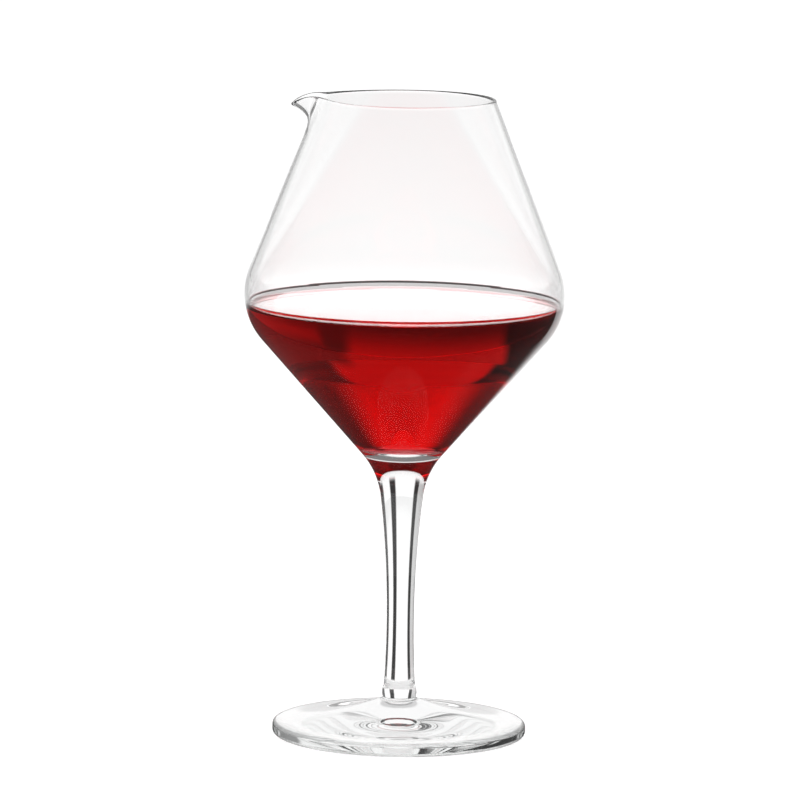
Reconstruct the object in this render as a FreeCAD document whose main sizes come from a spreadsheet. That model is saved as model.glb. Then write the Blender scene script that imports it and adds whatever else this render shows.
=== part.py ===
"""Stemmed glass carafe with a pulled pouring lip, filled with wine up to its widest point.

Millimetres. The axis of the glass is Z, the foot stands on Z = 0 and the lip points along -X.
"""
import FreeCAD, Part
import math
import os
import Sketcher

Vector = FreeCAD.Vector

# Sizes in millimetres and degrees. Heights are measured from the surface that the foot stands on,
# the belly's rise from the bowl's floor inside, and the neck's rise from the belly's widest point.
SIZES = {
    # Bowl
    "floor_height": 150.4,
    "belly_rise": 82.0,
    "neck_rise": 101.6,
    "rim_radius": 46.2,
    "belly_radius": 83.5,
    "belly_round": 35.4,
    "cone_foot_radius": 22.9,
    "wall": 1.8,
    "floor_round": 60.0,
    "floor_corner": 10.0,
    # Stem
    "flare_round": 40.8,
    "waist_height": 60.4,
    "waist_radius": 7.1,
    "stem_taper": 535.0,
    # Collar, where the stem is joined to the foot
    "joint_height": 19.2,
    "collar_height": 6.8,
    "collar_radius": 8.5,
    "collar_round": 8.0,
    # Foot
    "foot_radius": 66.3,
    "foot_edge": 6.7,
    "foot_edge_round": 5.0,
    "foot_bevel": 1.6,
    "foot_sweep": 177.0,
    "foot_hollow": 2.5,
    "rest_width": 6.4,
    # Pulled lip
    "lip_depth": 18.7,
    "lip_reach": 13.5,
    "lip_spread": 11.4,
    "lip_tilt": 66.0,
    "lip_tilt_spread": 13.6,
    "lip_rise": 1.4,
    "lip_rise_spread": 40.0,
    "lip_droop": 3.7,
    "lip_droop_spread": 7.5,
    # Wine
    "wine_drop": 6.4,
    "wine_climb": 3.0,
    "wine_climb_slope": 60.0,
    "wine_gap": 0.1,
}

# The lip's sections, which stand closer together near the lip's middle, and its side curves
SECTIONS_A_SIDE = 18
SECTION_CROWDING = 1.6
ROOT_PULL = 0.12
EDGE_PULL = 0.35

# Widest gap that closes where the lip and the turned bowl are joined
JOIN_TOLERANCE = 0.003

doc = FreeCAD.newDocument("carafe")
sheet = doc.addObject("Spreadsheet::Sheet", "sizes")
for row, (alias, value) in enumerate(SIZES.items(), start=1):
    sheet.set("A%d" % row, alias.replace("_", " "))
    sheet.set("B%d" % row, str(value))
    sheet.setAlias("B%d" % row, alias)
doc.recompute()


def size(alias):
    """Value of one size on the sheet."""
    return float(sheet.get(alias))


# Plane geometry. A point is (distance from the axis, height), and angles are in radians.

def along(point, angle, distance):
    """The point a distance away in the direction of an angle."""
    return (point[0] + distance * math.cos(angle), point[1] + distance * math.sin(angle))


def span(start, end):
    """Distance between two points."""
    return math.hypot(end[0] - start[0], end[1] - start[1])


def heading(start, end):
    """Angle of the direction from one point to another."""
    return math.atan2(end[1] - start[1], end[0] - start[0])


def meet_circles(first, first_radius, second, second_radius):
    """Where two circles cross, on the left of the way from the first centre to the second."""
    distance = span(first, second)
    cosine = (distance**2 + first_radius**2 - second_radius**2) / (2 * distance * first_radius)
    return along(first, heading(first, second) + math.acos(cosine), first_radius)


def meet_line(point, angle, centre, radius):
    """Where a line through a point leaves a circle, going the way of the angle."""
    offset = (point[0] - centre[0], point[1] - centre[1])
    forward = offset[0] * math.cos(angle) + offset[1] * math.sin(angle)
    rest = offset[0] ** 2 + offset[1] ** 2 - radius**2
    return along(point, angle, -forward + math.sqrt(forward**2 - rest))


# The bowl's outline, moved inwards by an inset: 0 outside, the wall inside, and more for the wine.

def belly_height():
    """Height of the widest point."""
    return size("floor_height") + size("belly_rise")


def rim_height():
    """Height of the rim where the lip doesn't reach."""
    return belly_height() + size("neck_rise")


def lip_start():
    """Height where the turned bowl ends and the lip's ring of wall begins."""
    return rim_height() - size("lip_depth")


def wine_level():
    """Height of the wine's surface."""
    return belly_height() - size("wine_drop")


def belly_centre():
    """Centre of the round belly."""
    return (size("belly_radius") - size("belly_round"), belly_height())


def upper_lean():
    """Angle by which the wall above the belly leans towards the axis."""
    centre = belly_centre()
    rim = (size("rim_radius"), rim_height())
    return heading(centre, rim) - math.acos(size("belly_round") / span(centre, rim))


def cone_foot():
    """Point of the outer cone at the height of the floor inside."""
    return (size("cone_foot_radius"), size("floor_height"))


def cone_lean():
    """Angle of the cone below the belly, from the axis."""
    foot, centre = cone_foot(), belly_centre()
    rise = heading(foot, centre) - math.asin(size("belly_round") / span(foot, centre))
    return math.pi / 2 - rise


def belly_top(inset):
    """Where the belly meets the wall above it."""
    return along(belly_centre(), upper_lean(), size("belly_round") - inset)


def belly_foot(inset):
    """Where the belly meets the cone below it."""
    return along(belly_centre(), -cone_lean(), size("belly_round") - inset)


def upper_wall(height, inset):
    """Point of the wall above the belly at a height."""
    lean = upper_lean()
    radius = size("rim_radius") + (rim_height() - height) * math.tan(lean) - inset / math.cos(lean)
    return (radius, height)


def dish_centre():
    """Centre of the dished floor inside the bowl."""
    return (0.0, size("floor_height") + size("floor_round"))


def corner_centre():
    """Centre of the rounded corner between the cone and the floor inside the bowl."""
    corner = size("floor_corner")
    start = along(belly_foot(size("wall")), math.pi - cone_lean(), corner)
    return meet_line(start, -math.pi / 2 - cone_lean(), dish_centre(), size("floor_round") - corner)


# Outlines. Each is a closed chain of lines and arcs, and every size of it is tied to the sheet.

START, END, CENTRE = range(1, 4)

BELLY_HEIGHT = "sizes.floor_height + sizes.belly_rise"
RIM_HEIGHT = BELLY_HEIGHT + " + sizes.neck_rise"
WINE_LEVEL = BELLY_HEIGHT + " - sizes.wine_drop"


class Outline:
    """A closed outline in the XZ plane of a body, drawn piece by piece and spun round the axis."""

    def __init__(self, body, name):
        self.body = body
        self.sketch = body.newObject("Sketcher::SketchObject", name)
        planes = [item for item in body.Origin.OriginFeatures if item.Role == "XZ_Plane"]
        self.sketch.AttachmentSupport = [(planes[0], "")]
        self.sketch.MapMode = "FlatFace"

    def line(self, start, end):
        """A straight piece."""
        return self.sketch.addGeometry(Part.LineSegment(Vector(*start, 0), Vector(*end, 0)), False)

    def arc(self, centre, start, end):
        """A round piece, which runs counter-clockwise from start to end."""
        circle = Part.Circle(Vector(*centre, 0), Vector(0, 0, 1), span(centre, start))
        piece = Part.ArcOfCircle(circle, heading(centre, start), heading(centre, end))
        return self.sketch.addGeometry(piece, False)

    def mark(self, place):
        """A helping point, which isn't part of the outline."""
        return self.sketch.addGeometry(Part.Point(Vector(*place, 0)), True)

    def tie(self, kind, *what):
        """A relation between pieces, such as Tangent or Parallel."""
        return self.sketch.addConstraint(Sketcher.Constraint(kind, *what))

    def on_ground(self, piece, end):
        """A point at the height that the foot stands on."""
        self.tie("PointOnObject", piece, end, -1)

    def on_axis(self, piece, end):
        """A point on the axis of the glass."""
        self.tie("PointOnObject", piece, end, -2)

    def bind(self, formula, kind, *what):
        """A measure of the outline that follows a formula on the sheet."""
        row = self.tie(kind, *what)
        self.sketch.setExpression("Constraints[%d]" % row, formula)

    def radius(self, piece, formula):
        """Radius of an arc."""
        self.bind(formula, "Radius", piece, self.sketch.Geometry[piece].Radius)

    def reach(self, piece, end, formula):
        """Distance of a point from the axis."""
        place = self.sketch.getPoint(piece, end)
        self.bind(formula, "DistanceX", -1, START, piece, end, place.x)

    def height(self, piece, end, formula):
        """Height of a point."""
        place = self.sketch.getPoint(piece, end)
        self.bind(formula, "DistanceY", -1, START, piece, end, place.y)

    def slope(self, piece, formula):
        """Angle of a line from the horizontal."""
        line = self.sketch.Geometry[piece]
        way = line.EndPoint - line.StartPoint
        self.bind(formula, "Angle", piece, math.atan2(way.y, way.x))

    def join(self, first, first_end, second, second_end, smooth):
        """Two pieces end to end, with no corner if smooth."""
        kind = "Tangent" if smooth else "Coincident"
        self.tie(kind, first, first_end, second, second_end)

    def spin(self, name):
        """Turn the outline once round the axis of the glass."""
        turned = self.body.newObject("PartDesign::Revolution", name)
        turned.Profile = self.sketch
        turned.ReferenceAxis = (self.sketch, ["V_Axis"])
        turned.Angle = 360.0
        return turned


def mark_cone_foot(outline):
    """The point that the outer cone passes through at the height of the floor inside."""
    foot = outline.mark(cone_foot())
    outline.reach(foot, START, "sizes.cone_foot_radius")
    outline.height(foot, START, "sizes.floor_height")
    return foot


def draw_bowl_inside(outline, inset, inset_formula, top):
    """The belly, cone, corner and floor that the glass and the wine share; top is the belly's end."""
    cone_mark = mark_cone_foot(outline)
    corner_end = along(corner_centre(), -cone_lean(), size("floor_corner") + size("wall") - inset)
    dish_end = along(
        dish_centre(),
        heading(dish_centre(), corner_centre()),
        size("floor_round") + size("wall") - inset,
    )
    floor_middle = (0.0, size("floor_height") + inset - size("wall"))
    belly = outline.arc(belly_centre(), belly_foot(inset), top)
    cone = outline.line(corner_end, belly_foot(inset))
    corner = outline.arc(corner_centre(), dish_end, corner_end)
    floor = outline.arc(dish_centre(), floor_middle, dish_end)
    outline.join(belly, START, cone, END, True)
    outline.join(cone, START, corner, END, True)
    outline.join(corner, START, floor, END, True)
    outline.on_axis(floor, CENTRE)
    outline.bind(inset_formula, "Distance", cone_mark, START, cone, inset)
    outline.radius(belly, "sizes.belly_round - (%s)" % inset_formula)
    outline.radius(corner, "sizes.floor_corner + sizes.wall - (%s)" % inset_formula)
    outline.radius(floor, "sizes.floor_round + sizes.wall - (%s)" % inset_formula)
    outline.height(floor, START, "sizes.floor_height - sizes.wall + %s" % inset_formula)
    return belly, floor


# Glass: foot, stem and bowl up to where the lip starts, as one outline spun round the axis.

def draw_foot(outline):
    """Hollow underside, resting ring, bevelled round edge and the top that sweeps up to the collar."""
    bevel, edge_round = size("foot_bevel"), size("foot_edge_round")
    ring_end = size("foot_radius") - bevel
    edge_centre = (size("foot_radius") - edge_round, size("foot_edge") / 2)
    edge_foot = meet_line((0.0, bevel), 0.0, edge_centre, edge_round)
    edge_top = meet_line((0.0, size("foot_edge") - bevel), 0.0, edge_centre, edge_round)
    rest = (ring_end - size("rest_width"), 0.0)
    joint = (size("collar_radius"), size("joint_height"))
    sweep_end = (ring_end, size("foot_edge"))
    sweep_centre = meet_circles(joint, size("foot_sweep"), sweep_end, size("foot_sweep"))

    underside = outline.line(rest, (0.0, size("foot_hollow")))
    ring = outline.line(rest, (ring_end, 0.0))
    low_bevel = outline.line((ring_end, 0.0), edge_foot)
    edge = outline.arc(edge_centre, edge_foot, edge_top)
    top_bevel = outline.line(edge_top, sweep_end)
    sweep = outline.arc(sweep_centre, joint, sweep_end)
    outline.join(underside, START, ring, START, False)
    outline.join(ring, END, low_bevel, START, False)
    outline.join(low_bevel, END, edge, START, False)
    outline.join(edge, END, top_bevel, START, False)
    outline.join(top_bevel, END, sweep, END, False)
    outline.on_axis(underside, END)
    outline.on_ground(ring, START)
    outline.tie("Horizontal", ring)
    outline.height(underside, END, "sizes.foot_hollow")
    outline.reach(ring, START, "sizes.foot_radius - sizes.foot_bevel - sizes.rest_width")
    outline.reach(ring, END, "sizes.foot_radius - sizes.foot_bevel")
    outline.radius(edge, "sizes.foot_edge_round")
    outline.reach(edge, CENTRE, "sizes.foot_radius - sizes.foot_edge_round")
    outline.height(edge, CENTRE, "sizes.foot_edge / 2")
    outline.height(edge, START, "sizes.foot_bevel")
    outline.height(edge, END, "sizes.foot_edge - sizes.foot_bevel")
    outline.reach(sweep, END, "sizes.foot_radius - sizes.foot_bevel")
    outline.height(sweep, END, "sizes.foot_edge")
    outline.radius(sweep, "sizes.foot_sweep")
    return underside, sweep


def draw_stem(outline):
    """Collar, long taper with its waist, and the flare that opens into the bowl's cone."""
    taper, flare_round = size("stem_taper"), size("flare_round")
    taper_centre = (size("waist_radius") + taper, size("waist_height"))
    joint = (size("collar_radius"), size("joint_height"))
    collar_top_height = size("joint_height") + size("collar_height")
    collar_top = meet_line((0.0, collar_top_height), math.pi, taper_centre, taper)
    collar_centre = meet_circles(joint, size("collar_round"), collar_top, size("collar_round"))
    start = along(belly_foot(0.0), -cone_lean(), flare_round)
    flare_centre = meet_line(start, -math.pi / 2 - cone_lean(), taper_centre, taper - flare_round)
    flare_top = along(flare_centre, math.pi - cone_lean(), flare_round)
    flare_foot = along(taper_centre, heading(taper_centre, flare_centre), taper)

    collar = outline.arc(collar_centre, joint, collar_top)
    stem = outline.arc(taper_centre, flare_foot, collar_top)
    flare = outline.arc(flare_centre, flare_top, flare_foot)
    cone = outline.line(flare_top, belly_foot(0.0))
    outline.join(collar, END, stem, END, False)
    outline.join(stem, START, flare, END, True)
    outline.join(flare, START, cone, START, True)
    outline.reach(collar, START, "sizes.collar_radius")
    outline.height(collar, START, "sizes.joint_height")
    outline.height(collar, END, "sizes.joint_height + sizes.collar_height")
    outline.radius(collar, "sizes.collar_round")
    outline.radius(stem, "sizes.stem_taper")
    outline.reach(stem, CENTRE, "sizes.waist_radius + sizes.stem_taper")
    outline.height(stem, CENTRE, "sizes.waist_height")
    outline.radius(flare, "sizes.flare_round")
    outline.tie("PointOnObject", mark_cone_foot(outline), START, cone)
    return collar, cone


def draw_bowl(outline):
    """Belly and upper wall, outside and inside, up to the height where the lip starts."""
    wall = size("wall")
    outer_belly = outline.arc(belly_centre(), belly_foot(0.0), belly_top(0.0))
    outer_wall = outline.line(belly_top(0.0), upper_wall(lip_start(), 0.0))
    seam = outline.line(upper_wall(lip_start(), 0.0), upper_wall(lip_start(), wall))
    inner_wall = outline.line(upper_wall(lip_start(), wall), belly_top(wall))
    rim = outline.mark((size("rim_radius"), rim_height()))
    inner_belly, floor = draw_bowl_inside(outline, wall, "sizes.wall", belly_top(wall))
    outline.join(outer_belly, END, outer_wall, START, True)
    outline.join(outer_wall, END, seam, START, False)
    outline.join(seam, END, inner_wall, START, False)
    outline.join(inner_wall, END, inner_belly, END, True)
    outline.tie("Horizontal", seam)
    outline.tie("Parallel", inner_wall, outer_wall)
    outline.tie("Coincident", inner_belly, CENTRE, outer_belly, CENTRE)
    outline.radius(outer_belly, "sizes.belly_round")
    outline.reach(outer_belly, CENTRE, "sizes.belly_radius - sizes.belly_round")
    outline.height(outer_belly, CENTRE, BELLY_HEIGHT)
    outline.reach(rim, START, "sizes.rim_radius")
    outline.height(rim, START, RIM_HEIGHT)
    outline.tie("PointOnObject", rim, START, outer_wall)
    outline.height(seam, START, RIM_HEIGHT + " - sizes.lip_depth")
    return outer_belly, floor


def make_turned_glass():
    """Body of the foot, the stem and the bowl without its lip."""
    body = doc.addObject("PartDesign::Body", "turned_glass")
    outline = Outline(body, "glass_outline")
    underside, sweep = draw_foot(outline)
    collar, cone = draw_stem(outline)
    outer_belly, floor = draw_bowl(outline)
    middle = outline.line((0.0, size("floor_height")), (0.0, size("foot_hollow")))
    outline.join(sweep, START, collar, START, False)
    outline.join(cone, END, outer_belly, START, True)
    outline.join(floor, START, middle, START, False)
    outline.join(middle, END, underside, END, False)
    outline.tie("Vertical", middle)
    outline.spin("turned")
    return body


# Pulled lip: the top of the wall, drawn out at one side. Its sections stand round the axis.

def swell(azimuth, spread):
    """A bell curve round the lip's direction: 1 there, and 0 well past the spread."""
    return math.exp(-((azimuth / math.radians(size(spread))) ** 2))


def lip_section(azimuth):
    """Closed section of the wall at an azimuth from the lip, up its outside and down its inside.

    Each side is a Bezier curve that leaves the turned wall straight on and ends at the rim's tilt.
    The rim's edge is a ridge with a bevel on each side.
    """
    lean, wall = upper_lean(), size("wall")
    pull = swell(azimuth, "lip_spread")
    drop = size("lip_droop") + size("lip_rise")
    rim = (
        size("rim_radius") + size("lip_reach") * pull,
        rim_height()
        + size("lip_rise") * swell(azimuth, "lip_rise_spread")
        - drop * swell(azimuth, "lip_droop_spread"),
    )
    up = math.pi / 2 + lean
    tilt = up - (lean + math.radians(size("lip_tilt"))) * swell(azimuth, "lip_tilt_spread")
    inner_rim = along(rim, tilt + math.pi / 2, wall)
    ridge = along(along(rim, tilt + math.pi / 2, wall / 2), tilt, wall / 2)
    root, inner_root = upper_wall(lip_start(), 0.0), upper_wall(lip_start(), wall)
    root_arm = (1 / 3 + ROOT_PULL * pull) * span(root, rim)
    edge_arm = (1 / 3 + EDGE_PULL * pull) * span(root, rim)

    turn = math.pi - azimuth

    def place(point):
        return Vector(point[0] * math.cos(turn), point[0] * math.sin(turn), point[1])

    def side(foot, top):
        curve = Part.BezierCurve()
        poles = [foot, along(foot, up, root_arm), along(top, tilt, -edge_arm), top]
        curve.setPoles([place(pole) for pole in poles])
        return curve.toShape()

    def straight(start, end):
        return Part.LineSegment(place(start), place(end)).toShape()

    edge = [straight(rim, ridge), straight(ridge, inner_rim)]
    return Part.Wire([side(root, rim)] + edge + [side(inner_root, inner_rim), straight(inner_root, root)])


def make_pulled_lip():
    """Ring of wall from the height where the lip starts up to the rim."""
    steps = [step / SECTIONS_A_SIDE for step in range(-SECTIONS_A_SIDE, SECTIONS_A_SIDE)]
    azimuths = [math.copysign(math.pi * abs(step) ** SECTION_CROWDING, step) for step in steps]
    ring = Part.makeLoft([lip_section(azimuth) for azimuth in azimuths], True, False, True)
    lip = doc.addObject("Part::Feature", "pulled_lip")
    lip.Shape = ring if ring.ShapeType == "Solid" else Part.Solid(Part.Shell(ring.Faces))
    return lip


def make_glass():
    """The whole glass as one solid: the lip joined to what was turned."""
    body = make_turned_glass()
    lip = make_pulled_lip()
    doc.recompute()
    glass = doc.addObject("Part::Feature", "carafe_glass")
    glass.Label = "carafe_glass"
    glass.Shape = body.Shape.fuse([lip.Shape], JOIN_TOLERANCE).Solids[0]
    glass.Placement = FreeCAD.Placement()
    return glass


# Wine: it fills the bowl up to just under the widest point, and climbs the glass a little.

def make_wine():
    """Body of the wine, with a bevel where it climbs the glass."""
    body = doc.addObject("PartDesign::Body", "wine")
    body.Label = "wine"
    outline = Outline(body, "wine_outline")
    inset, inset_formula = size("wall") + size("wine_gap"), "sizes.wall + sizes.wine_gap"
    level, climb = wine_level(), size("wine_climb")
    start = (belly_centre()[0], level + climb)
    contact = meet_line(start, 0.0, belly_centre(), size("belly_round") - inset)
    shore = (contact[0] - climb / math.tan(math.radians(size("wine_climb_slope"))), level)

    surface = outline.line((0.0, level), shore)
    edge = outline.line(shore, contact)
    belly, floor = draw_bowl_inside(outline, inset, inset_formula, contact)
    middle = outline.line((0.0, size("floor_height") + size("wine_gap")), (0.0, level))
    outline.join(surface, END, edge, START, False)
    outline.join(edge, END, belly, END, False)
    outline.join(floor, START, middle, START, False)
    outline.join(middle, END, surface, START, False)
    outline.tie("Horizontal", surface)
    outline.tie("Vertical", middle)
    outline.on_axis(middle, START)
    outline.height(surface, START, WINE_LEVEL)
    outline.height(edge, END, WINE_LEVEL + " + sizes.wine_climb")
    outline.slope(edge, "sizes.wine_climb_slope * 1 deg")
    outline.reach(belly, CENTRE, "sizes.belly_radius - sizes.belly_round")
    outline.height(belly, CENTRE, BELLY_HEIGHT)
    outline.spin("poured")
    return body


glass = make_glass()
wine = make_wine()
doc.recompute()

for item in doc.Objects:
    if "Invalid" in item.State or "Error" in item.State:
        raise RuntimeError("%s failed" % item.Label)

os.makedirs("parts", exist_ok=True)
for node in (glass, wine):
    if node.Shape.isNull() or not node.Shape.isValid() or len(node.Shape.Solids) != 1:
        raise RuntimeError("%s has no sound solid" % node.Label)
    node.Shape.exportStep("parts/%s.step" % node.Label)
    print(node.Label, "volume in cubic centimetres", round(node.Shape.Volume / 1000, 1))
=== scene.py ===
# Stemmed glass carafe with a pulled pouring lip, filled with red wine to its widest point.
# Metres. The glass stands on the floor at the origin and its lip points along -X.
import math

import bpy
import numpy as np
from mathutils import Matrix


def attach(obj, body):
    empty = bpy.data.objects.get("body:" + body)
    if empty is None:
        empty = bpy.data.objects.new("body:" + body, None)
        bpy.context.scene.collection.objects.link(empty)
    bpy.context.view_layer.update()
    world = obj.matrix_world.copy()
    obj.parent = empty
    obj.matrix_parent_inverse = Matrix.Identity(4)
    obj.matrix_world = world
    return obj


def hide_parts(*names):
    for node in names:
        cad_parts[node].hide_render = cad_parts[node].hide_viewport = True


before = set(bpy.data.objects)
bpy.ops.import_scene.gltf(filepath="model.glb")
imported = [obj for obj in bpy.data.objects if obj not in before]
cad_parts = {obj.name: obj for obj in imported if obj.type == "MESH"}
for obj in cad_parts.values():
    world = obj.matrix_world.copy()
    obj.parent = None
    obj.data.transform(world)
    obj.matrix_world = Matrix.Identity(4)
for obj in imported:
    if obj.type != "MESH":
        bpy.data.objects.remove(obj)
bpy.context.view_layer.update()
print("frame loaded:", sorted(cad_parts))

scene = bpy.context.scene

# Sizes of the glass as in the part's source, with the lip's angles in degrees

bowl = {
    "floorHeight": 0.1504,
    "bellyRise": 0.0820,
    "neckRise": 0.1016,
    "rimRadius": 0.0462,
    "bellyRadius": 0.0835,
    "bellyRound": 0.0354,
    "coneFootRadius": 0.0229,
    "wall": 0.0018,
    "floorRound": 0.0600,
    "floorCorner": 0.0100,
}

stem = {
    "flareRound": 0.0408,
    "waistHeight": 0.0604,
    "waistRadius": 0.0071,
    "taper": 0.5350,
    "jointHeight": 0.0192,
    "collarHeight": 0.0068,
    "collarRadius": 0.0085,
    "collarRound": 0.0080,
}

foot = {
    "radius": 0.0663,
    "edge": 0.0067,
    "edgeRound": 0.0022,
    "sweep": 0.1770,
    "hollow": 0.0025,
    "restWidth": 0.0061,
}

lip = {
    "depth": 0.0187,
    "reach": 0.0135,
    "spread": 11.4,
    "tilt": 66.0,
    "tiltSpread": 13.6,
    "rise": 0.0014,
    "riseSpread": 40.0,
    "droop": 0.0037,
    "droopSpread": 7.5,
    "rootPull": 0.12,
    "edgePull": 0.35,
}

wine = {
    "drop": 0.0064,
    "climb": 0.0030,
    "curl": 0.0018,
    "gap": 0.00004,
}

# Counts of points, steps along arcs in degrees, and how near two points count as one

mesh = {
    "columns": 288,
    "arcStep": 4.0,
    "shortArcStep": 9.0,
    "dishStep": 2.0,
    "domeStep": 0.3,
    "sweepStep": 0.8,
    "collarStep": 7.0,
    "taperStep": 0.4,
    "restRows": 3,
    "coneRows": 10,
    "wallRows": 16,
    "lipRows": 26,
    "rimRows": 11,
    "curlRows": 14,
    "surfaceRows": 12,
    "sameSpot": 1e-7,
}


# Plane geometry: a point is (distance from the axis, height) and angles are in radians

def along(point, angle, distance):
    # the point plus the distance times the angle's cosine and sine
    return (point[0] + distance * math.cos(angle), point[1] + distance * math.sin(angle))


def span(start, end):
    # length of the straight line between two points
    return math.hypot(end[0] - start[0], end[1] - start[1])


def heading(start, end):
    # angle of the way from one point to another
    return math.atan2(end[1] - start[1], end[0] - start[0])


def meetCircles(first, firstRadius, second, secondRadius):
    # where two circles cross, left of the way between their centres, by the law of cosines
    distance = span(first, second)
    cosine = (distance**2 + firstRadius**2 - secondRadius**2) / (2 * distance * firstRadius)
    return along(first, heading(first, second) + math.acos(cosine), firstRadius)


def meetLine(point, angle, centre, radius):
    # where a line leaves a circle: root of the quadratic in the distance along the line
    offset = (point[0] - centre[0], point[1] - centre[1])
    forward = offset[0] * math.cos(angle) + offset[1] * math.sin(angle)
    rest = offset[0] ** 2 + offset[1] ** 2 - radius**2
    return along(point, angle, -forward + math.sqrt(forward**2 - rest))


def arc(centre, radius, start, end, step):
    # points on a circle at even angles, from the start angle to the end angle, at most a step apart
    count = max(2, math.ceil(abs(end - start) / math.radians(step)) + 1)
    turn = np.linspace(start, end, count)
    return np.column_stack([centre[0] + radius * np.cos(turn), centre[1] + radius * np.sin(turn)])


def straight(start, end, count):
    # evenly spaced points on a straight line
    return np.linspace(start, end, count)


def joinRuns(runs):
    # runs end to end, without the points that repeat
    points = np.concatenate(runs)
    kept = np.concatenate([[True], np.hypot(*np.diff(points, axis=0).T) > mesh["sameSpot"]])
    return points[kept]


bellyHeight = bowl["floorHeight"] + bowl["bellyRise"]
rimHeight = bellyHeight + bowl["neckRise"]
lipStart = rimHeight - lip["depth"]
bellyCentre = (bowl["bellyRadius"] - bowl["bellyRound"], bellyHeight)
rimPoint = (bowl["rimRadius"], rimHeight)
upperLean = heading(bellyCentre, rimPoint) - math.acos(bowl["bellyRound"] / span(bellyCentre, rimPoint))
coneFoot = (bowl["coneFootRadius"], bowl["floorHeight"])
coneRise = heading(coneFoot, bellyCentre) - math.asin(bowl["bellyRound"] / span(coneFoot, bellyCentre))
coneLean = math.pi / 2 - coneRise
dishCentre = (0.0, bowl["floorHeight"] + bowl["floorRound"])


def upperWall(height, inset):
    # a point of the straight wall above the belly, moved inwards by the inset
    radius = bowl["rimRadius"] + (rimHeight - height) * math.tan(upperLean) - inset / math.cos(upperLean)
    return (radius, height)


def bellyPoint(angle, inset):
    # a point of the round belly at an angle, moved inwards by the inset
    return along(bellyCentre, angle, bowl["bellyRound"] - inset)


def bowlInside(inset, topAngle):
    # belly, cone, rounded corner and dished floor, from the top angle down to the axis
    wall, corner = bowl["wall"], bowl["floorCorner"]
    start = along(bellyPoint(-coneLean, wall), math.pi - coneLean, corner)
    cornerCentre = meetLine(start, -math.pi / 2 - coneLean, dishCentre, bowl["floorRound"] - corner)
    cornerRound = corner + wall - inset
    dishTurn = heading(dishCentre, cornerCentre)
    coneEnd = along(cornerCentre, -coneLean, cornerRound)
    return [
        arc(bellyCentre, bowl["bellyRound"] - inset, topAngle, -coneLean, mesh["arcStep"]),
        straight(bellyPoint(-coneLean, inset), coneEnd, mesh["coneRows"]),
        arc(cornerCentre, cornerRound, -coneLean, dishTurn, mesh["shortArcStep"]),
        arc(dishCentre, bowl["floorRound"] + wall - inset, dishTurn, -math.pi / 2, mesh["dishStep"]),
    ]


def footRuns():
    # hollow underside, resting ring, rounded edge and the top that sweeps up to the collar
    edgeRound, side = foot["edgeRound"], foot["radius"]
    lowCentre = (side - edgeRound, edgeRound)
    topCentre = (side - edgeRound, foot["edge"] - edgeRound)
    restStart = lowCentre[0] - foot["restWidth"]
    joint = (stem["collarRadius"], stem["jointHeight"])
    sweepCentre = meetCircles(joint, foot["sweep"], topCentre, foot["sweep"] + edgeRound)
    sweepTurn = heading(sweepCentre, topCentre)
    domeRound = (restStart**2 + foot["hollow"] ** 2) / (2 * foot["hollow"])
    domeCentre = (0.0, foot["hollow"] - domeRound)
    domeEnd = heading(domeCentre, (restStart, 0.0))
    return [
        arc(domeCentre, domeRound, math.pi / 2, domeEnd, mesh["domeStep"]),
        straight((restStart, 0.0), (lowCentre[0], 0.0), mesh["restRows"]),
        arc(lowCentre, edgeRound, -math.pi / 2, 0.0, mesh["shortArcStep"]),
        arc(topCentre, edgeRound, 0.0, sweepTurn + math.pi, mesh["shortArcStep"]),
        arc(sweepCentre, foot["sweep"], sweepTurn, heading(sweepCentre, joint), mesh["sweepStep"]),
    ]


def stemRuns():
    # collar, long taper with its waist, and the flare that opens into the cone
    taper, flareRound = stem["taper"], stem["flareRound"]
    joint = (stem["collarRadius"], stem["jointHeight"])
    taperCentre = (stem["waistRadius"] + taper, stem["waistHeight"])
    collarTopHeight = stem["jointHeight"] + stem["collarHeight"]
    collarTop = meetLine((0.0, collarTopHeight), math.pi, taperCentre, taper)
    collarCentre = meetCircles(joint, stem["collarRound"], collarTop, stem["collarRound"])
    start = along(bellyPoint(-coneLean, 0.0), -coneLean, flareRound)
    flareCentre = meetLine(start, -math.pi / 2 - coneLean, taperCentre, taper - flareRound)
    flareTurn = heading(taperCentre, flareCentre) % (2 * math.pi)
    taperTurn = heading(taperCentre, collarTop) % (2 * math.pi)
    coneStart = along(flareCentre, math.pi - coneLean, flareRound)
    return [
        arc(collarCentre, stem["collarRound"], heading(collarCentre, joint),
            heading(collarCentre, collarTop), mesh["collarStep"]),
        arc(taperCentre, taper, taperTurn, flareTurn, mesh["taperStep"]),
        arc(flareCentre, flareRound, flareTurn, math.pi - coneLean, mesh["arcStep"]),
        straight(coneStart, bellyPoint(-coneLean, 0.0), mesh["coneRows"]),
    ]


def swell(azimuth, spread):
    # bell curve round the lip's direction: e to the minus square of the azimuth over the spread
    return np.exp(-((azimuth / math.radians(spread)) ** 2))


def bezier(points, count):
    # cubic Bezier curve through four poles, each pole an array of points over the azimuth
    share = np.linspace(0.0, 1.0, count)[None, :, None]
    rest = 1 - share
    start, startArm, endArm, end = (pole[:, None, :] for pole in points)
    return rest**3 * start + 3 * rest**2 * share * startArm + 3 * rest * share**2 * endArm + share**3 * end


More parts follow.
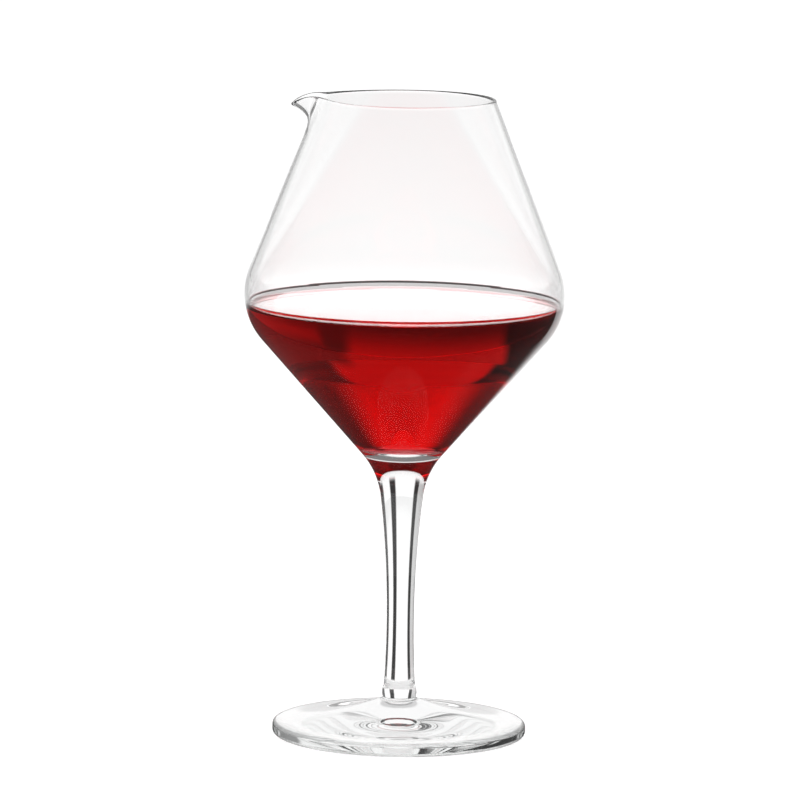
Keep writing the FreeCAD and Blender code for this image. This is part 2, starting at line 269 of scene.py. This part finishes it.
def lipRuns(azimuth):
    # outside up, rounded rim, inside down: each side leaves the turned wall straight on and ends
    # at the rim's tilt, and rim and tilt follow bell curves of the azimuth
    wall = bowl["wall"]
    pull = swell(azimuth, lip["spread"])
    rimRadius = bowl["rimRadius"] + lip["reach"] * pull
    rimTop = (
        rimHeight
        + lip["rise"] * swell(azimuth, lip["riseSpread"])
        - (lip["droop"] + lip["rise"]) * swell(azimuth, lip["droopSpread"])
    )
    rim = np.column_stack([rimRadius, rimTop])
    up = math.pi / 2 + upperLean
    tilt = up - (upperLean + math.radians(lip["tilt"])) * swell(azimuth, lip["tiltSpread"])
    tiltWay = np.column_stack([np.cos(tilt), np.sin(tilt)])
    across = np.column_stack([-np.sin(tilt), np.cos(tilt)])
    upWay = np.array([math.cos(up), math.sin(up)])
    root, innerRoot = (np.array([upperWall(lipStart, inset)]) for inset in (0.0, wall))
    reach = np.hypot(*(rim - root).T)[:, None]
    rootArm = (1 / 3 + lip["rootPull"] * pull[:, None]) * reach
    edgeArm = (1 / 3 + lip["edgePull"] * pull[:, None]) * reach

    def wallSide(start, end):
        # from the wall up to the rim, with an arm at either end
        first = np.repeat(start, len(azimuth), 0)
        return bezier([first, start + rootArm * upWay, end - edgeArm * tiltWay, end], mesh["lipRows"])

    innerRim = rim + wall * across
    turn = np.linspace(-math.pi / 2, math.pi / 2, mesh["rimRows"])[None, 1:-1, None]
    middle = rim[:, None, :] + wall / 2 * across[:, None, :]
    way = np.cos(turn) * tiltWay[:, None, :] + np.sin(turn) * across[:, None, :]
    rounding = middle + wall / 2 * way
    inside = wallSide(innerRoot, innerRim)[:, ::-1]
    return np.concatenate([wallSide(root, rim), rounding, inside], axis=1)


def spinMesh(name, sections, azimuth):
    # each column of sections is a profile at one azimuth; its ends lie on the axis and close there
    turn = (math.pi - azimuth)[:, None]
    radius, height = sections[:, :, 0], sections[:, :, 1]
    grid = np.stack([radius * np.cos(turn), radius * np.sin(turn), height], axis=2)
    columns, rows = radius.shape
    low, top = grid[0, 0] * [0, 0, 1], grid[0, -1] * [0, 0, 1]
    vertices = np.concatenate([grid[:, 1:-1].reshape(-1, 3), [low], [top]])
    inner = rows - 2
    first = np.arange(columns) * inner
    after = np.roll(first, -1)
    step = np.arange(inner - 1)
    quads = np.stack([
        first[:, None] + step, first[:, None] + step + 1,
        after[:, None] + step + 1, after[:, None] + step,
    ], axis=2).reshape(-1, 4)
    lowPole, topPole = columns * inner, columns * inner + 1
    lowFan = np.column_stack([np.full(columns, lowPole), first, after])
    topFan = np.column_stack([first + inner - 1, np.full(columns, topPole), after + inner - 1])
    data = bpy.data.meshes.new(name)
    data.from_pydata(vertices, [], quads.tolist() + lowFan.tolist() + topFan.tolist())
    data.shade_smooth()
    data.validate()
    piece = bpy.data.objects.new(name, data)
    scene.collection.objects.link(piece)
    rowOfFace = np.concatenate([np.tile(step, columns), np.full(columns, -1), np.full(columns, inner)])
    return piece, rowOfFace


azimuth = np.linspace(-math.pi, math.pi, mesh["columns"], endpoint=False)


def repeatRuns(runs):
    # the same profile at every azimuth
    return np.repeat(joinRuns(runs)[None], len(azimuth), 0)


contactHeight = bellyHeight - wine["drop"] + wine["climb"]


def makeGlass():
    # the closed outline from the middle of the underside to the middle of the bowl's floor
    wall = bowl["wall"]
    outside = footRuns() + stemRuns() + [
        arc(bellyCentre, bowl["bellyRound"], -coneLean, upperLean, mesh["arcStep"]),
        straight(bellyPoint(upperLean, 0.0), upperWall(lipStart, 0.0), mesh["wallRows"]),
    ]
    contact = math.asin((contactHeight - bellyHeight) / (bowl["bellyRound"] - wall))
    insideTop = [
        straight(upperWall(lipStart, wall), bellyPoint(upperLean, wall), mesh["wallRows"]),
        arc(bellyCentre, bowl["bellyRound"] - wall, upperLean, contact, mesh["arcStep"]),
    ]
    outer, dry = repeatRuns(outside), repeatRuns(insideTop)
    wet = repeatRuns(bowlInside(wall, contact))
    sections = np.concatenate([outer[:, :-1], lipRuns(azimuth), dry[:, 1:], wet[:, 1:]], axis=1)
    piece, rowOfFace = spinMesh("blown_glass", sections, azimuth)
    wetRow = sections.shape[1] - wet.shape[1] - 1
    return piece, rowOfFace >= wetRow


def makeWine():
    # the bowl's inside with a small gap, a quarter of an ellipse where it climbs the glass, and the
    # flat surface
    inset = bowl["wall"] + wine["gap"]
    level = bellyHeight - wine["drop"]
    contact = math.asin((contactHeight - bellyHeight) / (bowl["bellyRound"] - inset))
    contactPoint = bellyPoint(contact, inset)
    curlTurn = np.linspace(0.0, math.pi / 2, mesh["curlRows"])
    curl = np.column_stack([
        contactPoint[0] - wine["curl"] * (1 - np.cos(curlTurn)),
        contactPoint[1] - wine["climb"] * np.sin(curlTurn),
    ])
    curlEnd = (contactPoint[0] - wine["curl"], level)
    top = repeatRuns([curl, straight(curlEnd, (0.0, level), mesh["surfaceRows"])])
    side = repeatRuns(bowlInside(inset, contact))[:, ::-1]
    piece, rowOfFace = spinMesh("red_wine", np.concatenate([side, top[:, 1:]], axis=1), azimuth)
    return piece, rowOfFace < side.shape[1] - 2


glassPiece, wetFaces = makeGlass()
winePiece, sideFaces = makeWine()
print("meshes made:", len(glassPiece.data.polygons), "and", len(winePiece.data.polygons), "faces")


# Shader helpers

def feed(tree, place, value):
    # the input gets a link where the value is a socket, and the value itself where it is not
    if isinstance(value, bpy.types.NodeSocket):
        tree.links.new(value, place)
    else:
        place.default_value = value


def addNode(tree, kind, **values):
    # a node with its settings, and with values or links for its inputs by name, or by number
    # after an i
    made = tree.nodes.new("ShaderNode" + kind)
    for name, value in values.items():
        if hasattr(made, name):
            setattr(made, name, value)
        elif name[0] == "i" and name[1:].isdigit():
            feed(tree, made.inputs[int(name[1:])], value)
        else:
            feed(tree, made.inputs[name], value)
    return made


def newMaterial(name):
    # an empty material and its node tree
    material = bpy.data.materials.new(name)
    material.use_nodes = True
    material.node_tree.nodes.clear()
    return material, material.node_tree


def maths(tree, operation, *values):
    # the operation on the values
    made = addNode(tree, "Math", operation=operation)
    for place, value in zip(made.inputs, values):
        feed(tree, place, value)
    return made.outputs[0]


glassLook = {
    "ior": 1.5,
    "tint": (0.90, 0.93, 0.92, 1.0),
    "density": 3.0,
    "shadow": (0.93, 0.95, 0.95, 1.0),
    "waveSize": 22.0,
    "waveHeight": 0.00006,
}

wineLook = {
    "ior": 1.345,
    "tint": (0.930, 0.060, 0.110, 1.0),
    "density": 85.0,
    "shadow": (0.75, 0.25, 0.28, 1.0),
    "waveSize": 60.0,
    "waveHeight": 0.000004,
}

unevenness = {
    "detail": 1.0,
    "fineScale": 3.1,
    "fineShare": 0.12,
    "palest": 1.0,
    "darkest": 0.985,
}


def makeWaveGroup():
    # slow unevenness of blown glass and of a liquid's skin: two sizes of noise added up
    group = bpy.data.node_groups.new("slow_waves", "ShaderNodeTree")
    for name, kind in (("Place", "NodeSocketVector"), ("Size", "NodeSocketFloat")):
        group.interface.new_socket(name, in_out="INPUT", socket_type=kind)
    group.interface.new_socket("Height", in_out="OUTPUT", socket_type="NodeSocketFloat")
    group.interface.new_socket("Tint", in_out="OUTPUT", socket_type="NodeSocketColor")
    inside = group.nodes.new("NodeGroupInput")
    outside = group.nodes.new("NodeGroupOutput")
    spot, size = inside.outputs["Place"], inside.outputs["Size"]
    slow = addNode(group, "TexNoise", Vector=spot, Scale=size, Detail=unevenness["detail"])
    quick = maths(group, "MULTIPLY", size, unevenness["fineScale"])
    fine = addNode(group, "TexNoise", Vector=spot, Scale=quick, Detail=0.0)
    lesser = maths(group, "MULTIPLY", fine.outputs[0], unevenness["fineShare"])
    group.links.new(maths(group, "ADD", slow.outputs[0], lesser), outside.inputs["Height"])
    shade = addNode(group, "MapRange", Value=slow.outputs[0])
    shade.inputs["To Min"].default_value = unevenness["darkest"]
    shade.inputs["To Max"].default_value = unevenness["palest"]
    group.links.new(shade.outputs[0], outside.inputs["Tint"])
    return group


waveGroup = makeWaveGroup()


def clearBody(tree, ior, waves, normal):
    # a smooth dielectric surface
    body = addNode(tree, "BsdfPrincipled")
    body.inputs["Roughness"].default_value = 0.0
    body.inputs["Transmission Weight"].default_value = 1.0
    body.inputs["IOR"].default_value = ior
    tree.links.new(waves.outputs["Tint"], body.inputs["Base Color"])
    tree.links.new(normal, body.inputs["Normal"])
    return body.outputs[0]


def clearMaterial(name, look, touchIor):
    # the open surface and, where the mask says that glass and wine touch, a second index of
    # refraction; what passes is dimmed by the absorption, and lamps shine through
    material, tree = newMaterial(name)
    place = addNode(tree, "TexCoord").outputs["Object"]
    waves = addNode(tree, "Group", node_tree=waveGroup, Place=place, Size=look["waveSize"])
    bump = addNode(tree, "Bump", Height=waves.outputs["Height"])
    bump.inputs["Strength"].default_value = 1.0
    bump.inputs["Distance"].default_value = look["waveHeight"]
    dry = clearBody(tree, look["ior"], waves, bump.outputs[0])
    touching = clearBody(tree, touchIor, waves, bump.outputs[0])
    mask = addNode(tree, "Attribute", attribute_name="touching")
    surface = addNode(tree, "MixShader", i0=mask.outputs["Fac"], i1=dry, i2=touching)
    path = addNode(tree, "LightPath")
    shine = addNode(tree, "BsdfTransparent", Color=look["shadow"])
    lit = addNode(tree, "MixShader", i0=path.outputs["Is Shadow Ray"], i1=surface.outputs[0],
                  i2=shine.outputs[0])
    absorb = addNode(tree, "VolumeAbsorption", Color=look["tint"], Density=look["density"])
    addNode(tree, "OutputMaterial", Surface=lit.outputs[0], Volume=absorb.outputs[0])
    return material


def dress(piece, material, touching):
    # the mask is 1 on the faces where glass and wine touch
    piece.data.materials.append(material)
    mask = piece.data.attributes.new("touching", "FLOAT", "FACE")
    mask.data.foreach_set("value", touching.astype(np.float32))


pairIor = glassLook["ior"] / wineLook["ior"]
dress(glassPiece, clearMaterial("clear_glass", glassLook, pairIor), wetFaces)
dress(winePiece, clearMaterial("red_wine", wineLook, 1.0), sideFaces)

for piece, node in ((glassPiece, "carafe_glass"), (winePiece, "wine")):
    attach(piece, "root")
    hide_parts(node)
print("materials made")


# Studio: white paper, plain light, and panels and dark strips that only the glass shows; on the floor they
# are painted shade.
# A panel has the azimuth of its middle and its half width in degrees, and panelEdge says how far outside
# and inside its border it fades. A lamp has its place and its power

studio = {
    "floorSides": 96,
    "floorRadius": 40.0,
    "floorGap": 0.00003,
    "floorColour": 0.82,
    "floorFill": 0.45,
    "daylight": 0.75,
    "stripCount": 8.0,
    "stripMiddle": 73.5,
    "stripEdge": (0.55, 0.85),
    "panels": {"Right Panel": (138.5, 25.0), "Left Panel": (49.5, 23.5), "Left Edge": (32.0, 12.0),
               "Lit Side": (68.0, 16.0), "Foot Side": (116.0, 12.0), "Wine Strip": (75.5, 2.0)},
    "panelEdge": (3.0, -1.0),
    "lampSize": (1.0, 1.2),
    "lampAim": (0.0, 0.0, 0.2),
    "lamps": {"key_box": ((1.5, -1.2, 1.9), 12.0), "fill_box": ((-1.7, -0.6, 1.6), 6.0)},
}

# What rays from glass and wine meet: strengths, and how far two limits lean to one side

seen = {
    "sky": 1.12,
    "stemStrip": 0.04,
    "stemSide": 0.62,
    "stemEdge": 0.10,
    "wineSkyline": 0.18,
    "wineSky": 1.10,
    "wineRing": 0.10,
    "wineOverhead": 1.70,
    "skylineLean": 0.05,
    "overheadLean": -0.04,
    "wineEdge": 2.5,
    "wineRight": 0.03,
    "wineLeft": 0.19,
    "mirroredLeft": 0.32,
    "mirroredFloor": 0.80,
    "surfaceRing": 2.5,
    "surfaceSky": 0.9,
    "flareTop": 0.12,
    "edgeSkyline": 0.60,
    "edgeSky": 1.0,
    "leftEdgeShare": 0.7,
    "footPanel": 0.04,
    # from here on, what the floor shows to rays from glass and wine: painted shade and painted light, not
    # light that falls there
    "footFloor": 0.95,
    "nearFloor": 0.965,
    "farFloor": 0.885,
    "curlFloor": 0.55,
    "shadeBesideFloor": 0.07,
    "flareFloor": 0.20,
    # painted shade under the foot, which the floor shows only to rays from glass and wine
    "shadeUnderFoot": 0.10,
    "byTopFloor": 1.2,
}

# Limits of soft steps: in the sky by the sine of the height over the horizon, on the floor in metres

skySteps = {
    "low": (0.25, 0.45),
    "surfaceRing": (0.19, 0.24),
    "flareTop": (0.45, 0.53),
    "overhead": (0.825, 0.99),
    "skyline": (0.09, 0.24),
    "frontCurl": (0.04, 0.08),
    "wineTop": (0.62, 0.70),
    "wineEdge": (0.03, 0.07),
    "mirroredLeft": (0.2, 0.3),
    "leftStart": (0.13, 0.20),
    "leftEnd": (0.62, 0.72),
    "stripEnd": (0.20, 0.34),
    "rightEnd": (0.58, 0.68),
    "edgeSkyline": (0.09, 0.13),
    "footStart": (0.13, 0.16),
    "footEnd": (0.30, 0.36),
    "steep": (0.7, 0.8),
}

floorSteps = {
    "farFloor": (1.9, 3.3),
    "clearOfFoot": (0.07, 0.10),
    "curl": (0.36, 0.45),
    "bounced": (0.25, 0.35),
    "far": (0.5, 0.9),
    "byTop": (0.2, 0.3),
    "behind": (0.11, 0.125),
    "behindWidth": (0.05, 0.07),
    "behindReach": (0.18, 0.22),
    "litSide": (0.35, 0.6),
    "openFloor": (1.0, 1.6),
    "flare": (0.066, 0.075),
    "flareFloor": (0.12, 0.18),
    "lipHalf": (-0.006, 0.003),
    "footHollow": (0.035, 0.045),
    "backHalf": (-0.01, 0.01),
}


def ramp(tree, value, limits, below=0.0, above=1.0):
    # smooth step between two levels, from the lower to the upper limit of the value
    made = addNode(tree, "MapRange", interpolation_type="SMOOTHSTEP", Value=value)
    for name, number in zip(("From Min", "From Max", "To Min", "To Max"), (*limits, below, above)):
        made.inputs[name].default_value = number
    return made.outputs[0]


def blend(tree, share, first, second):
    # first where the share is 0, second where it is 1
    made = addNode(tree, "Mix", data_type="FLOAT")
    for number, value in zip((0, 2, 3), (share, first, second)):
        feed(tree, made.inputs[number], value)
    return made.outputs[0]


def larger(tree, first, second):
    # the larger of two values
    return maths(tree, "MAXIMUM", first, second)


def invert(tree, value):
    # 1 less the value
    return maths(tree, "SUBTRACT", 1.0, value)


def times(tree, *factors):
    # product of the factors
    product = factors[0]
    for factor in factors[1:]:
        product = maths(tree, "MULTIPLY", product, factor)
    return product


def makeSurroundGroup():
    # Strips: 0 in the open and 1 in thin strips round the axis, from the cosine of the azimuth
    # times their number. Each panel: 1 inside it, from the cosine of the azimuth to its middle
    group = bpy.data.node_groups.new("strips_and_panels", "ShaderNodeTree")
    group.interface.new_socket("Place", in_out="INPUT", socket_type="NodeSocketVector")
    for name in ("Strips", *studio["panels"]):
        group.interface.new_socket(name, in_out="OUTPUT", socket_type="NodeSocketFloat")
    inside = group.nodes.new("NodeGroupInput")
    outside = group.nodes.new("NodeGroupOutput")
    split = addNode(group, "SeparateXYZ", Vector=inside.outputs["Place"])
    azimuthOut = maths(group, "ARCTAN2", split.outputs["Y"], split.outputs["X"])

    def wave(middle, count):
        # cosine of the azimuth from the middle, times the count
        turned = maths(group, "SUBTRACT", azimuthOut, math.radians(middle))
        return maths(group, "COSINE", maths(group, "MULTIPLY", turned, count))

    strips = ramp(group, wave(studio["stripMiddle"], studio["stripCount"]), studio["stripEdge"])
    group.links.new(strips, outside.inputs["Strips"])
    for name, (middle, half) in studio["panels"].items():
        limits = [math.cos(math.radians(half + spread)) for spread in studio["panelEdge"]]
        group.links.new(ramp(group, wave(middle, 1.0), limits), outside.inputs[name])
    return group


surroundGroup = makeSurroundGroup()


def rayKinds(tree):
    # each is 1 for its kind of ray: the camera's own and any that glass or wine sends. Then by how
    # often it was mirrored, and by the surfaces it crossed: none, a wall, a bowl, the wine, a way out
    path = addNode(tree, "LightPath")
    kinds = {
        "camera": path.outputs["Is Camera Ray"],
        "glass": larger(tree, path.outputs["Is Glossy Ray"], path.outputs["Is Transmission Ray"]),
    }
    limits = {
        "Glossy Depth": {"mirrored": 0.5, "mirroredAgain": 1.5, "mirroredMore": 2.5, "mirroredOften": 4.5},
        "Transmission Depth": {"crossed": 0.5, "crossedBowl": 2.5, "crossedWine": 5.5, "leftByTop": 7.5},
    }
    for depth, names in limits.items():
        for name, limit in names.items():
            kinds[name] = maths(tree, "GREATER_THAN", path.outputs[depth], limit)
    return kinds


def makeWorld():
    # plain white to the eye, plain light on the floor, and to rays from glass or wine a sky with
    # panels that depends on their kind
    world = bpy.data.worlds.new("studio_world")
    scene.world = world
    world.use_nodes = True
    tree = world.node_tree
    tree.nodes.clear()
    place = addNode(tree, "TexCoord").outputs["Generated"]
    apart = addNode(tree, "SeparateXYZ", Vector=place)
    across, rise = apart.outputs["X"], apart.outputs["Z"]
    room = addNode(tree, "Group", node_tree=surroundGroup, Place=place).outputs
    right, left, leftEdge = room["Right Panel"], room["Left Panel"], room["Left Edge"]
    kinds = rayKinds(tree)

    def over(name):
        # 0 under a step and 1 over it
        return ramp(tree, rise, skySteps[name])

    def under(name):
        # 1 under a step and 0 over it
        return ramp(tree, rise, skySteps[name], 1.0, 0.0)

    # straight through the stem, or through the bowl, which shows a plain sky
    low = under("low")
    stem = blend(tree, times(tree, right, low), seen["sky"], seen["stemSide"])
    stem = blend(tree, times(tree, leftEdge, low), stem, seen["stemEdge"])
    stem = blend(tree, times(tree, room["Strips"], low), stem, seen["stemStrip"])
    plain = blend(tree, kinds["crossedBowl"], stem, seen["sky"])

    # mirrored in the wine's surface, and in the flare under it
    surface = ramp(tree, rise, skySteps["surfaceRing"], seen["surfaceRing"], seen["surfaceSky"])
    surface = blend(tree, over("flareTop"), surface, seen["flareTop"])

    # through the wine: skyline and sky, and through its top a dark ring round a light overhead
    leaning = maths(tree, "MULTIPLY_ADD", across, seen["overheadLean"], rise)
    overhead = ramp(tree, leaning, skySteps["overhead"], seen["wineRing"], seen["wineOverhead"])
    overhead = blend(tree, kinds["leftByTop"], seen["wineSky"], overhead)
    leaning = maths(tree, "MULTIPLY_ADD", across, seen["skylineLean"], rise)
    wineSky = ramp(tree, leaning, skySteps["skyline"], seen["wineSkyline"], seen["wineSky"])
    wineSky = blend(tree, under("frontCurl"), wineSky, seen["wineSky"])
    wineSky = blend(tree, over("wineTop"), wineSky, overhead)

    # mirrored inside the wine
    mirroredSky = ramp(tree, rise, skySteps["wineEdge"], 1.0, seen["wineEdge"])
    mirroredSky = blend(tree, over("flareTop"), mirroredSky, seen["flareTop"])
    mirroredSky = blend(tree, times(tree, left, under("mirroredLeft")), mirroredSky, seen["mirroredLeft"])
    bySurface = times(tree, kinds["mirrored"], invert(tree, kinds["leftByTop"]))
    wineSky = blend(tree, bySurface, wineSky, mirroredSky)

    # dark panels at both sides of the wine
    leftWindow = times(tree, left, over("leftStart"), under("leftEnd"))
    dark = larger(tree, leftWindow, times(tree, room["Wine Strip"], under("stripEnd")))
    wineSky = blend(tree, dark, wineSky, seen["wineLeft"])
    wineSky = blend(tree, times(tree, right, under("rightEnd")), wineSky, seen["wineRight"])

    # mirrored at edges and, a few times, in the foot's rim
    edge = ramp(tree, rise, skySteps["edgeSkyline"], seen["edgeSkyline"], seen["edgeSky"])
    again = times(tree, kinds["crossed"], kinds["mirroredAgain"])
    few = times(tree, again, invert(tree, kinds["mirroredOften"]))
    panels = larger(tree, room["Foot Side"], times(tree, right, over("footStart")))
    panels = larger(tree, panels, times(tree, leftEdge, seen["leftEdgeShare"]))
    dark = larger(tree, times(tree, panels, few, under("footEnd")), times(tree, over("steep"), again))
    edge = blend(tree, dark, edge, seen["footPanel"])

    mirrored = blend(tree, kinds["crossedBowl"], edge, surface)
    inGlass = blend(tree, kinds["mirrored"], plain, mirrored)
    inGlass = blend(tree, kinds["crossedWine"], inGlass, wineSky)
    bare = blend(tree, kinds["camera"], studio["daylight"], 1.0)
    strength = blend(tree, kinds["glass"], bare, inGlass)
    back = addNode(tree, "Background", Color=(1.0, 1.0, 1.0, 1.0), Strength=strength)
    addNode(tree, "OutputWorld", Surface=back.outputs[0])


def makeFloor():
    # a wide disc of white paper that adds a little light of its own to what the eye and glass see; to rays
    # from glass and wine its colour and glow carry the painted shade and light patches below
    sides = studio["floorSides"]
    turn = np.linspace(0, 2 * math.pi, sides, endpoint=False)
    corners = np.column_stack([np.cos(turn), np.sin(turn), np.zeros(sides)]) * studio["floorRadius"]
    data = bpy.data.meshes.new("floor")
    data.from_pydata(corners, [], [list(range(sides))])
    floor = bpy.data.objects.new("floor", data)
    floor.location.z = -studio["floorGap"]
    scene.collection.objects.link(floor)
    material, tree = newMaterial("white_paper")
    place = addNode(tree, "TexCoord").outputs["Object"]
    room = addNode(tree, "Group", node_tree=surroundGroup, Place=place).outputs
    right = room["Right Panel"]
    distance = addNode(tree, "VectorMath", operation="LENGTH", i0=place).outputs["Value"]
    across, backwards = addNode(tree, "SeparateXYZ", Vector=place).outputs[:2]
    kinds = rayKinds(tree)

    def beyond(name, value=distance):
        # 0 before a step and 1 beyond it
        return ramp(tree, value, floorSteps[name])

    def within(name, value=distance):
        # 1 before a step and 0 beyond it
        return ramp(tree, value, floorSteps[name], 1.0, 0.0)

    # straight through the stem the floor shows painted dark strips and panels clear of the foot, and
    # through the bowl a plain floor painted a little darker far off
    bare = ramp(tree, distance, floorSteps["farFloor"], seen["nearFloor"], seen["farFloor"])
    clearOfFoot = beyond("clearOfFoot")
    stem = blend(tree, times(tree, right, clearOfFoot), bare, seen["stemSide"])
    stem = blend(tree, times(tree, room["Left Edge"], clearOfFoot), stem, seen["stemEdge"])
    stem = blend(tree, times(tree, room["Strips"], clearOfFoot), stem, seen["stemStrip"])
    plain = blend(tree, kinds["crossedBowl"], stem, bare)

    # through the wine: straight rays see the floor painted darker from arm's length, where the curl at its
    # back edge shows it, and mirrored rays see painted shade near the foot, painted dark panels farther
    # off and, for rays that left by the top, a painted light patch near the glass
    direct = ramp(tree, distance, floorSteps["curl"], 1.0, seen["curlFloor"])
    bounced = ramp(tree, distance, floorSteps["bounced"], seen["shadeUnderFoot"], 1.0)
    far = beyond("far")
    bounced = blend(tree, far, bounced, seen["mirroredFloor"])
    dark = times(tree, larger(tree, room["Left Panel"], room["Wine Strip"]), far)
    bounced = blend(tree, dark, bounced, seen["mirroredLeft"])
    bounced = blend(tree, times(tree, right, far), bounced, seen["wineRight"])
    bounced = blend(tree, times(tree, kinds["leftByTop"], within("byTop")), bounced, seen["byTopFloor"])
    inWine = blend(tree, kinds["mirrored"], direct, bounced)

    # mirrored by the outside, by the flare, and a few times in the foot, the floor is painted: painted
    # shade near the glass but for painted light patches behind it, to one side and far off; for the flare
    # painted shade under the foot and farther out; in the foot a painted dark patch on one side; and
    # painted shade in front of the glass
    aside = maths(tree, "ABSOLUTE", across)
    behind = times(tree, beyond("behind", backwards), within("behindWidth", aside), within("behindReach"))
    lit = larger(tree, behind, times(tree, room["Lit Side"], beyond("litSide")))
    lit = larger(tree, lit, beyond("openFloor"))
    outside = blend(tree, lit, seen["shadeBesideFloor"], 1.0)
    flare = ramp(tree, distance, floorSteps["flare"], seen["shadeUnderFoot"], 1.0)
    flare = blend(tree, beyond("flareFloor"), flare, seen["flareFloor"])
    few = times(tree, kinds["mirroredMore"], invert(tree, kinds["mirroredOften"]))
    dark = times(tree, few, within("lipHalf", across), beyond("footHollow"))
    inFoot = blend(tree, dark, seen["footFloor"], seen["footPanel"])
    mirrored = blend(tree, kinds["mirroredAgain"], flare, inFoot)
    mirrored = blend(tree, beyond("backHalf", backwards), seen["shadeUnderFoot"], mirrored)
    mirrored = blend(tree, kinds["crossed"], outside, mirrored)
    mirrored = blend(tree, kinds["crossedBowl"], mirrored, 1.0)

    inGlass = blend(tree, kinds["mirrored"], plain, mirrored)
    inGlass = blend(tree, kinds["crossedWine"], inGlass, inWine)
    shown = blend(tree, kinds["glass"], 1.0, inGlass)
    paper = addNode(tree, "BsdfDiffuse", Color=times(tree, shown, studio["floorColour"]))
    fill = times(tree, shown, larger(tree, kinds["glass"], kinds["camera"]), studio["floorFill"])
    light = addNode(tree, "Emission", Strength=fill)
    both = addNode(tree, "AddShader", i0=paper.outputs[0], i1=light.outputs[0])
    addNode(tree, "OutputMaterial", Surface=both.outputs[0])
    data.materials.append(material)


def makeLamp(name, place, power):
    # a soft box that faces the middle of the bowl, and that gives light but isn't seen
    data = bpy.data.lights.new(name, "AREA")
    data.shape = "RECTANGLE"
    data.size, data.size_y = studio["lampSize"]
    data.energy = power
    lamp = bpy.data.objects.new(name, data)
    lamp.location = place
    way = np.array(studio["lampAim"]) - np.array(place)
    yaw, pitch = math.atan2(way[1], way[0]), math.atan2(way[2], math.hypot(way[0], way[1]))
    lamp.rotation_euler = (math.pi / 2 + pitch, 0.0, yaw - math.pi / 2)
    scene.collection.objects.link(lamp)
    lamp.visible_camera = False
    lamp.visible_glossy = False
    lamp.visible_transmission = False


makeWorld()
makeFloor()
for name, (place, power) in studio["lamps"].items():
    makeLamp(name, place, power)

view = {
    "lens": 313.9,
    "distance": 3.637,
    "pitch": 8.386,
    "aimHeight": 0.1767,
    "sideways": -0.0017,
    "roll": 0.80,
    "clipEnd": 200.0,
}


def makeCamera():
    # a long lens that looks down a little at the middle of the part
    data = bpy.data.cameras.new("camera")
    data.lens = view["lens"]
    data.clip_end = view["clipEnd"]
    camera = bpy.data.objects.new("camera", data)
    pitch = math.radians(view["pitch"])
    camera.location = (
        view["sideways"],
        -view["distance"] * math.cos(pitch),
        view["aimHeight"] + view["distance"] * math.sin(pitch),
    )
    camera.rotation_mode = "XYZ"
    lean = Matrix.Rotation(math.pi / 2 - pitch, 4, "X")
    roll = Matrix.Rotation(math.radians(view["roll"]), 4, "Z")
    camera.rotation_euler = (lean @ roll).to_euler()
    scene.collection.objects.link(camera)
    scene.camera = camera


makeCamera()
scene.view_settings.view_transform = "Standard"
scene.cycles.max_bounces = 32
scene.cycles.transmission_bounces = 32
scene.cycles.glossy_bounces = 16
print("studio and camera made")
